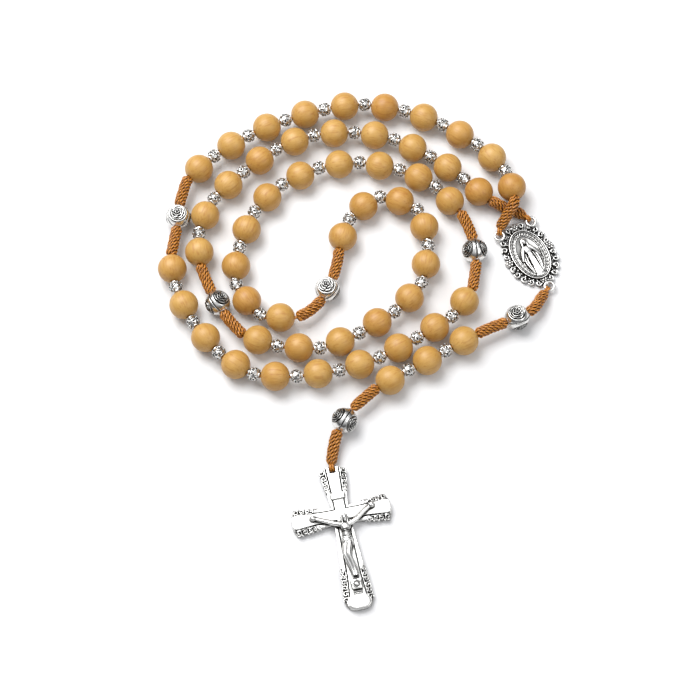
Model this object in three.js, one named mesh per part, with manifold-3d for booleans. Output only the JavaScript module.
// A five-decade rosary, lying flat and wound in three turns, with its pendant and crucifix.
// Millimetres, +Z up. The origin is the middle of the space that the rosary covers, on the table top.
import * as THREE from 'three';
import { mergeVertices } from 'three/addons/utils/BufferGeometryUtils.js';
import Module from 'manifold-3d';

const wasm = await Module();
wasm.setup();

// Driving sizes.
const GAP = 0.3; // clearance between neighbouring solids
const WOOD_RADIUS = 4; // boxwood prayer bead
const BORE_RADIUS = 0.9;
const CORD_RADIUS = 0.5;
const SPACER_LENGTH = 3.3; // little silver ball between two wooden beads
const SPACER_RADIUS = 1.8;
const SPACER_RIM = 0.6;
const ROSETTE_RADIUS = 3.5; // silver rose bead
const KNOT_RADIUS = 1.65; // barrel knot
const KNOT_END = 0.7;
const KNOT_LENGTH = 8.8;
const SHOULDER = 1.1; // how far a knot or a silver ball takes to reach its full width
const LEFT_KNOT = 10.1; // the knot at the medal's left eyelet, which rises over the other one
const FLEX_GAP = 0.9; // between a knot and the swinging decade, where the string bends
const TAIL_GAP = 0.6; // between a knot and the rose bead of the swinging tail
const BEADS_PER_DECADE = 10;
const PENDANT_BEADS = 3;
const SIDES = 8; // round a bead, a knot and the cord

const EYELET_RADIUS = 1.3; // to the middle of its wire
const WIRE_RADIUS = 0.45;
const EYELET_HEIGHT = 1.5; // middle of every eyelet wire above the table
const LOOP_RADIUS = 1.1; // cord loop round a wire, to the middle of the cord
const LOOP_CORD = 0.35;

const MEDAL_THICKNESS = 1.6;
const MEDAL_HALF_WIDTH = 6.3;
const MEDAL_HALF_HEIGHT = 8.3;
const CROSS_THICKNESS = 1.9;
const CROSS_LENGTH = 39.5; // below the bar that the crucifix hangs on
const CROSS_HALF_SPAN = 13.4;
const CROSSING = 13.4; // from the bar down to the middle of the arms
const CROSS_NECK = 2.3; // half width of an arm where the arms meet
const CROSS_FLARE = 4.1; // half width of an arm at its end

// The string's route on the table, from the medal's left eyelet round to its right one.
const LOOP_ROUTE = [
  [40.9, 36.6, 3.8], [42.9, 39.6, 5.9], [43.5, 43, 5.2], [42.8, 46.8, 4.2], [41, 51, 3.9],
  [37.4, 55.8, 4.05], [28, 63, 4], [18, 68.5, 4], [7, 71.5, 4], [-5, 72, 4],
  [-27, 65, 4], [-46, 52, 4], [-50.4, 43, 4], [-51, 36.5, 3.5], [-52.4, 27, 4], [-53, 21, 4],
  [-49, 9.5, 4], [-42.5, -0.5, 4], [-34.5, -8.3, 4], [-23.5, -12, 4], [-0.5, -8.5, 4], [20, 2.5, 4],
  [29, 10, 4], [31.5, 18, 4], [32, 27, 3.5], [29, 36, 4],
  [25, 41.5, 4], [16, 49.5, 4], [-5.5, 53.5, 4], [-26.5, 43, 4], [-35, 22, 4], [-33.4, 13.2, 4],
  [-28.6, 7, 4], [-21.5, 4.9, 4], [-14.2, 7.6, 4], [-9.2, 14, 3.5], [-6.5, 22.5, 4],
  [-5.9, 28.5, 4], [-4, 34, 4], [-0.7, 39.4, 4], [5.2, 42.8, 4], [12, 41.8, 4], [17, 37.3, 4],
  [18.6, 30.6, 4], [18.2, 21.5, 4], [13.5, 11, 4],
  [-6, -2, 4], [-18, -3.3, 4], [-29, -1.3, 4], [-35, 3.5, 4], [-40, 11, 3.5], [-44, 20, 4],
  [-45.5, 26, 4], [-44, 37, 4], [-37, 47, 4], [-18, 61, 4], [5, 62.5, 4], [25, 52, 4],
  [34, 42.9, 4.25], [38, 41.2, 3.4], [41.4, 39.9, 1.85], [44.2, 38.9, 1.9],
];

// The pendant's route, from the medal's lower eyelet to the crucifix.
const PENDANT_ROUTE = [
  [50, 12.4, 2.3], [47.4, 8.4, 3.4], [42.6, 5.6, 3.5], [35, 2.3, 4], [27.6, -1.5, 4],
  [17.7, -7.4, 4], [7.4, -12.9, 4], [1, -18, 4], [-4.3, -23.3, 3.5], [-6.8, -29, 3.1],
];

// Places of the medal and the crucifix, and how far each is turned from the Y axis.
const MEDAL_CENTRE = new THREE.Vector3(47.4, 26.1, 0);
const MEDAL_TURN = THREE.MathUtils.degToRad(26.5);
const LEFT_EYELET = [-5.05, 8.7];
const RIGHT_EYELET = [5.05, 8.7];
const LOWER_EYELET = [0.1, -11.1];
// Which way the string leaves each eyelet of the medal.
const LEFT_WAY = THREE.MathUtils.degToRad(90);
const RIGHT_WAY = THREE.MathUtils.degToRad(136);
const LOWER_WAY = THREE.MathUtils.degToRad(-122);
const CROSS_TOP = new THREE.Vector3(-7.9, -37.2, 0);
const CROSS_TURN = THREE.MathUtils.degToRad(11.4);

const paint = (color, roughness, metalness) =>
  new THREE.MeshStandardMaterial({ color, roughness, metalness });
const boxwood = paint(0xdcaa62, 0.45, 0);
const brownCord = paint(0xa8641c, 0.7, 0);
const silver = paint(0xc9c7c2, 0.3, 0.95);

const rosary = new THREE.Group();
const UP = new THREE.Vector3(0, 0, 1);

function addMesh(name, geometry, material) {
  const mesh = new THREE.Mesh(geometry, material);
  mesh.name = name;
  rosary.add(mesh);
  return mesh;
}

// Closed geometry to a solid, and a solid back to a geometry.
function solid(geometry) {
  const bare = geometry.clone();
  bare.deleteAttribute('normal');
  bare.deleteAttribute('uv');
  const merged = mergeVertices(bare, 1e-4);
  return new wasm.Manifold(new wasm.Mesh({
    numProp: 3,
    vertProperties: new Float32Array(merged.attributes.position.array),
    triVerts: new Uint32Array(merged.index.array),
  }));
}

function toGeometry(manifold) {
  const mesh = manifold.getMesh();
  const geometry = new THREE.BufferGeometry();
  geometry.setAttribute('position', new THREE.BufferAttribute(mesh.vertProperties, 3));
  geometry.setIndex(new THREE.BufferAttribute(mesh.triVerts, 1));
  return geometry;
}

function joined(geometries) {
  return geometries.map(solid).reduce((whole, piece) => whole.add(piece));
}

// A wooden bead is a ball with a bore along the string.
const WOOD_HALF = Math.sqrt(WOOD_RADIUS ** 2 - BORE_RADIUS ** 2);
const WOOD_CHORD = 2 * WOOD_HALF + 2 * GAP;

function woodenBead() {
  const start = Math.asin(BORE_RADIUS / WOOD_RADIUS);
  const steps = 6;
  const profile = [];
  for (let i = 0; i <= steps; i += 1) {
    const angle = start + (i * (Math.PI - 2 * start)) / steps;
    profile.push(new THREE.Vector2(WOOD_RADIUS * Math.sin(angle), -WOOD_RADIUS * Math.cos(angle)));
  }
  profile.push(profile[0].clone());
  return new THREE.LatheGeometry(profile, SIDES);
}

// A string follows its smooth route in straight chords, which meet where its pieces touch.
// It is threaded from its start: each call adds a piece, and s is how far the string has come.
class BeadString {
  constructor(route) {
    this.curve = new THREE.CatmullRomCurve3(route, false, 'catmullrom', 0.5);
    this.curve.arcLengthDivisions = 4000;
    this.length = this.curve.getLength();
    this.stations = [];
    this.cords = new Map();
    this.joints = new Map();
    this.beads = [];
    this.s = 0;
  }

  // The next pieces belong to this cord, and s is where it joins the one before.
  startCord(name) {
    this.mark();
    this.rings = [];
    this.cords.set(name, this.rings);
    this.joints.set(name, this.s);
  }

  // A station where the string may bend.
  mark() {
    const last = this.stations[this.stations.length - 1];
    if (last && this.s - last.s < 1e-6) return;
    const u = Math.min(1, this.s / this.length);
    this.stations.push({ s: this.s, point: this.curve.getPointAt(u) });
  }

  advance(length) {
    this.s += length;
    this.mark();
  }

  ring(offset, radius) {
    this.rings.push([this.s + offset, radius]);
  }

  bareCord(length) {
    this.ring(0, CORD_RADIUS);
    this.ring(length, CORD_RADIUS);
    this.advance(length);
  }

  knot(length) {
    this.ring(0, KNOT_END);
    this.ring(SHOULDER, KNOT_RADIUS);
    this.ring(length / 2, KNOT_RADIUS);
    this.ring(length - SHOULDER, KNOT_RADIUS);
    this.ring(length, KNOT_END);
    const parts = Math.round(length / 2);
    for (let part = 0; part < parts; part += 1) this.advance(length / parts);
  }

  rosette() {
    const rings = 6;
    for (let i = 0; i <= rings; i += 1) {
      const angle = THREE.MathUtils.degToRad(14 + (i * 152) / rings);
      this.ring(ROSETTE_RADIUS * (1 - Math.cos(angle)), ROSETTE_RADIUS * Math.sin(angle));
    }
    this.advance(2 * ROSETTE_RADIUS);
  }

  spacer() {
    this.ring(0, SPACER_RIM);
    this.ring(SHOULDER, SPACER_RADIUS);
    this.ring(SPACER_LENGTH - SHOULDER, SPACER_RADIUS);
    this.ring(SPACER_LENGTH, SPACER_RIM);
    this.advance(SPACER_LENGTH);
  }

  woodenBeads(count, name) {
    for (let i = 1; i <= count; i += 1) {
      if (i > 1) this.spacer();
      this.ring(GAP, CORD_RADIUS);
      this.ring(WOOD_CHORD - GAP, CORD_RADIUS);
      const number = String(i).padStart(2, '0');
      this.beads.push({ name: `${name}_bead_${number}`, middle: this.s + WOOD_CHORD / 2 });
      this.advance(WOOD_CHORD);
    }
  }

  chordAt(s) {
    const last = this.stations.length - 2;
    let i = 0;
    while (i < last && this.stations[i + 1].s <= s + 1e-6) i += 1;
    return i;
  }

  // Local X to the side, local Y along the string, local Z upwards.
  frameAt(s) {
    const i = this.chordAt(s);
    const a = this.stations[i];
    const b = this.stations[i + 1];
    const along = b.point.clone().sub(a.point).normalize();
    if (i > 0 && s - a.s < 1e-6) {
      along.add(a.point.clone().sub(this.stations[i - 1].point).normalize()).normalize();
    }
    const side = along.clone().cross(UP).normalize();
    const up = side.clone().cross(along);
    const point = a.point.clone().lerp(b.point, (s - a.s) / (b.s - a.s));
    return new THREE.Matrix4().makeBasis(side, along, up).setPosition(point);
  }

  // One closed skin round a cord and all that it carries: a lathe with its axis bent along the string.
  skin(name) {
    const rings = this.cords.get(name);
    const ends = [[rings[0][0], 0], [rings[rings.length - 1][0], 0]];
    const profile = [ends[0], ...rings, ends[1]].map(([s, r]) => new THREE.Vector2(r, s));
    const geometry = new THREE.LatheGeometry(profile, SIDES);
    const position = geometry.attributes.position;
    const vertex = new THREE.Vector3();
    const perSide = profile.length;
    const frames = profile.map((point) => this.frameAt(point.y));
    for (let i = 0; i < position.count; i += 1) {
      vertex.fromBufferAttribute(position, i).setY(0).applyMatrix4(frames[i % perSide]);
      position.setXYZ(i, ...vertex.toArray());
    }
    return geometry;
  }
}

// Where the string ties to the medal and to the crucifix.
const medalFrame = new THREE.Matrix4().makeRotationZ(MEDAL_TURN).setPosition(MEDAL_CENTRE);
const crossFrame = new THREE.Matrix4().makeRotationZ(CROSS_TURN).setPosition(CROSS_TOP);
const towards = (angle) => new THREE.Vector3(Math.cos(angle), Math.sin(angle), 0);
const leftWay = towards(LEFT_WAY);
const rightWay = towards(RIGHT_WAY);
const lowerWay = towards(LOWER_WAY);
const crossWay = towards(CROSS_TURN + Math.PI / 2);

function eyeletWire([x, y], way) {
  const ring = new THREE.Vector3(x, y, EYELET_HEIGHT).applyMatrix4(medalFrame);
  return ring.addScaledVector(way, EYELET_RADIUS);
}

const leftWire = eyeletWire(LEFT_EYELET, leftWay);
const rightWire = eyeletWire(RIGHT_EYELET, rightWay);
const lowerWire = eyeletWire(LOWER_EYELET, lowerWay);
const crossBar = new THREE.Vector3(0, 0, EYELET_HEIGHT).applyMatrix4(crossFrame);

// A string starts and ends in the middle of the cord that loops round a wire.
function tiedRoute(fromWire, fromWay, points, toWire, toWay) {
  return [
    fromWire.clone().addScaledVector(fromWay, LOOP_RADIUS),
    ...points.map((point) => new THREE.Vector3(...point)),
    toWire.clone().addScaledVector(toWay, LOOP_RADIUS),
  ];
}

// The loop of cord round a wire, in the upright plane that holds way.
function cordLoop(wire, way) {
  const loop = new THREE.TorusGeometry(LOOP_RADIUS, LOOP_CORD, SIDES, 12);
  const axis = way.clone().cross(UP);
  loop.applyQuaternion(new THREE.Quaternion().setFromUnitVectors(UP, axis));
  return loop.translate(...wire.toArray());
}

// The loop of the rosary: five decades, with a rose bead between two knots after each of the first four.
const loop = new BeadString(tiedRoute(leftWire, leftWay, LOOP_ROUTE, rightWire, rightWay));

function roseBetweenKnots(string) {
  string.knot(KNOT_LENGTH);
  string.rosette();
  string.knot(KNOT_LENGTH);
}

loop.startCord('cord_1_2');
loop.knot(LEFT_KNOT);
loop.woodenBeads(BEADS_PER_DECADE, 'decade_1');
roseBetweenKnots(loop);
loop.woodenBeads(BEADS_PER_DECADE, 'decade_2');
roseBetweenKnots(loop);
loop.advance(FLEX_GAP / 2);
loop.startCord('cord_3');
loop.bareCord(FLEX_GAP / 2 - GAP);
loop.woodenBeads(BEADS_PER_DECADE, 'decade_3');
loop.bareCord(FLEX_GAP / 2 - GAP);
loop.startCord('cord_4_5');
loop.advance(FLEX_GAP / 2);
roseBetweenKnots(loop);
loop.woodenBeads(BEADS_PER_DECADE, 'decade_4');
roseBetweenKnots(loop);
loop.woodenBeads(BEADS_PER_DECADE, 'decade_5');
loop.knot(loop.length - loop.s);

// The pendant: a rose bead, three wooden beads and another rose bead, each between knots.
const pendant = new BeadString(tiedRoute(lowerWire, lowerWay, PENDANT_ROUTE, crossBar, crossWay));
pendant.startCord('pendant_cord');
roseBetweenKnots(pendant);
pendant.woodenBeads(PENDANT_BEADS, 'pendant');
pendant.knot(KNOT_LENGTH);
pendant.advance(TAIL_GAP / 2);
pendant.startCord('pendant_tail');
pendant.advance(TAIL_GAP / 2);
pendant.rosette();
pendant.knot(pendant.length - pendant.s);

for (const string of [loop, pendant]) {
  for (const bead of string.beads) {
    addMesh(bead.name, woodenBead(), boxwood).applyMatrix4(string.frameAt(bead.middle));
  }
}

const cordMesh = (string, name, ...loops) =>
  addMesh(name, toGeometry(joined([string.skin(name), ...loops])), brownCord);
cordMesh(loop, 'cord_1_2', cordLoop(leftWire, leftWay));
cordMesh(loop, 'cord_3');
cordMesh(loop, 'cord_4_5', cordLoop(rightWire, rightWay));
cordMesh(pendant, 'pendant_cord', cordLoop(lowerWire, lowerWay));
cordMesh(pendant, 'pendant_tail', cordLoop(crossBar, crossWay));

// Plain bodies for the castings, each with its middle at a place.
function block(width, depth, height, x, y, z) {
  return new THREE.BoxGeometry(width, depth, height).translate(x, y, z);
}

function disc(radius, height, x, y, sides = 12) {
  const geometry = new THREE.CylinderGeometry(radius, radius, height, sides);
  return geometry.rotateX(Math.PI / 2).translate(x, y, height / 2);
}

function ball(x, y, z, halfWidth, halfDepth, halfHeight) {
  const geometry = new THREE.SphereGeometry(1, 10, 6).scale(halfWidth, halfDepth, halfHeight);
  return geometry.translate(x, y, z);
}

// A round limb between two points.
function limb(from, to, radius) {
  const start = new THREE.Vector3(...from);
  const way = new THREE.Vector3(...to).sub(start);
  const geometry = new THREE.CapsuleGeometry(radius, way.length(), 2, SIDES);
  geometry.translate(0, way.length() / 2, 0);
  const turn = new THREE.Quaternion().setFromUnitVectors(new THREE.Vector3(0, 1, 0), way.normalize());
  return geometry.applyQuaternion(turn).translate(...start.toArray());
}

function slab(shape, height, curveSegments = 8) {
  return new THREE.ExtrudeGeometry(shape, { depth: height, bevelEnabled: false, curveSegments });
}

// The medal: an oval plate with a raised rim, an openwork border of scrolls and four flowers,
// three wire eyelets, and a robed figure with open hands.
function medalGeometry() {
  const pieces = [];
  const plate = new THREE.Shape().absellipse(0, 0, MEDAL_HALF_WIDTH, MEDAL_HALF_HEIGHT, 0, Math.PI * 2);
  pieces.push(slab(plate, MEDAL_THICKNESS - 0.4, 8));
  const rim = new THREE.Shape().absellipse(0, 0, 5.6, 7.6, 0, Math.PI * 2);
  rim.holes.push(new THREE.Path().absellipse(0, 0, 5, 7, 0, Math.PI * 2));
  pieces.push(slab(rim, MEDAL_THICKNESS, 8));
  for (const [x, y] of [[0, 9.1], [-6.9, -0.6], [6.9, -0.6], [0, -8.8]]) {
    pieces.push(disc(1.55, MEDAL_THICKNESS + 0.2, x, y, 10));
  }
  for (const side of [-1, 1]) {
    for (const [x, y, radius] of [[3, 7.9, 1.3], [5.9, 6.1, 1.3], [6.9, 2.9, 1.2], [6.3, -4.4, 1.3], [3.7, -7.4, 1.4]]) {
      pieces.push(disc(radius, MEDAL_THICKNESS - 0.15, side * x, y, 9));
    }
  }
  for (const [x, y] of [LEFT_EYELET, RIGHT_EYELET, LOWER_EYELET]) {
    pieces.push(new THREE.TorusGeometry(EYELET_RADIUS, WIRE_RADIUS, SIDES, 16).translate(x, y, EYELET_HEIGHT));
  }
  pieces.push(limb([0, -5.4, 1.35], [0, 1.5, 1.35], 1.3));
  pieces.push(ball(0, 4.2, 1.5, 0.9, 1.1, 0.9));
  for (const side of [-1, 1]) {
    pieces.push(limb([side * 0.6, 2.2, 1.3], [side * 2.7, -0.8, 1.2], 0.5));
  }
  return joined(pieces);
}

const medal = addMesh('medal', toGeometry(medalGeometry()), silver);
medal.applyMatrix4(medalFrame);

// One flared arm of the cross: it starts at the crossing and runs to a rounded end.
function flaredArm(length, end) {
  const shape = new THREE.Shape();
  shape.moveTo(-CROSS_NECK, 0);
  shape.lineTo(-end, length - 2);
  shape.quadraticCurveTo(-end * 0.8, length, 0, length);
  shape.quadraticCurveTo(end * 0.8, length, end, length - 2);
  shape.lineTo(CROSS_NECK, 0);
  return shape;
}

// The crucifix is one casting: a flared cross, a raised smooth cross on it, ornament pads beside
// the arm ends, a blank title plate, the figure, and a round bar in the notch at its top.
function crucifixGeometry() {
  const centre = -CROSSING;
  const arms = [
    { turn: 0, length: CROSSING + 0.5, end: CROSS_FLARE },
    { turn: Math.PI / 2, length: CROSS_HALF_SPAN, end: CROSS_FLARE - 0.5 },
    { turn: -Math.PI / 2, length: CROSS_HALF_SPAN, end: CROSS_FLARE - 0.5 },
    { turn: Math.PI, length: CROSS_LENGTH - CROSSING, end: CROSS_FLARE },
  ];
  const pieces = [block(2 * CROSS_NECK, 2 * CROSS_NECK, CROSS_THICKNESS, 0, centre, CROSS_THICKNESS / 2)];
  for (const { turn, length, end } of arms) {
    const arm = slab(flaredArm(length, end), CROSS_THICKNESS, 4);
    const band = block(3, length - 0.6, 0.8, 0, (length - 0.6) / 2, CROSS_THICKNESS);
    for (const piece of [arm, band]) pieces.push(piece.rotateZ(turn).translate(0, centre, 0));
    for (const side of [-1, 1]) {
      const pad = block(1.5, 5.5, 0.8, side * (end - 1), length - 5, CROSS_THICKNESS);
      pieces.push(pad.rotateZ(turn).translate(0, centre, 0));
    }
  }
  const top = CROSS_THICKNESS + 0.4; // the raised cross, which the figure lies on
  pieces.push(block(4.2, 1.6, 1, 0, centre + 5.2, top));
  pieces.push(ball(0, centre - 0.6, top + 0.6, 1, 1.2, 1));
  pieces.push(limb([0, centre - 3, top + 0.6], [0, centre - 6.5, top + 0.6], 1.2));
  pieces.push(ball(0, centre - 8.3, top + 0.6, 1.5, 1.6, 1));
  for (const side of [-1, 1]) {
    pieces.push(limb([side * 0.9, centre - 2.6, top + 0.7], [side * 7.9, centre - 0.3, top + 0.4], 0.6));
    pieces.push(limb([side * 0.7, centre - 9, top + 0.6], [side * 0.5, centre - 14, top + 1], 0.7));
    pieces.push(limb([side * 0.5, centre - 14, top + 1], [side * 0.3, centre - 19, top + 0.5], 0.6));
  }
  pieces.push(block(2.6, 2, 1, 0, centre - 20.5, top));
  const notch = new THREE.CylinderGeometry(1.8, 1.8, 1.5, 16).rotateZ(Math.PI / 2);
  const bar = new THREE.CylinderGeometry(WIRE_RADIUS, WIRE_RADIUS, 2.4, SIDES).rotateZ(Math.PI / 2);
  const body = joined(pieces).subtract(solid(notch.translate(0, 0, EYELET_HEIGHT)));
  return body.add(solid(bar.translate(0, 0, EYELET_HEIGHT)));
}

const crucifix = addMesh('crucifix', toGeometry(crucifixGeometry()), silver);
crucifix.applyMatrix4(crossFrame);

export default rosary;
